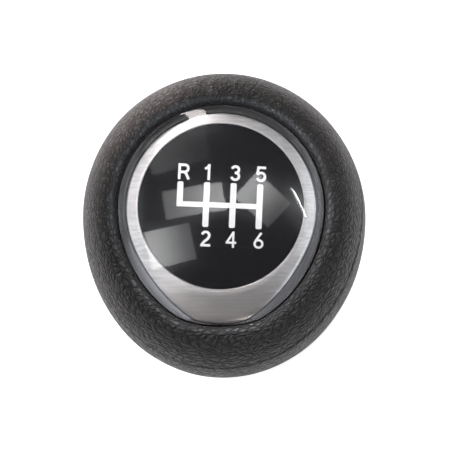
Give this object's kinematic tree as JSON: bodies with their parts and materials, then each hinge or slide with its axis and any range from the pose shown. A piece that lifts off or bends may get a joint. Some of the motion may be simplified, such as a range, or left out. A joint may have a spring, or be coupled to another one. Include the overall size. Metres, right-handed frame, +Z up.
{
  "type": "gear shift knob",
  "caption": "Push-fit gear shift knob: grained black skin over a rounded head, drop-shaped brushed bezel round a black dial under a clear domed lens, blind lever bore below.",
  "frame": {"origin": "centre of the lever bore's mouth, on the knob's base face", "axes": "+Z up along the lever, -Y towards the driver, +X to the driver's right"},
  "size_m": [0.052, 0.0554, 0.0629],
  "materials": {
    "skin": "grained, semi-matt",
    "core": "as moulded",
    "carrier": "satin",
    "plate": "brushed across",
    "dial": "gloss",
    "print": "screen-printed",
    "bond": "satin",
    "lens": "clear, polished",
    "sleeve": "as moulded",
    "clip": "bright spring wire",
    "damper": "matt",
    "collar": "fine satin"
  },
  "bodies": {
    "root": {"grip_skin": "skin", "core_body": "core", "bezel_carrier": "carrier", "bezel_plate": "plate", "dial_disc": "dial", "lens_bond": "bond", "lens": "lens", "lever_sleeve": "sleeve", "retaining_clip": "clip", "damper_ring_lower": "damper", "damper_ring_upper": "damper", "stop_pad": "damper", "neck_collar": "collar"}
  },
  "joints": []
}
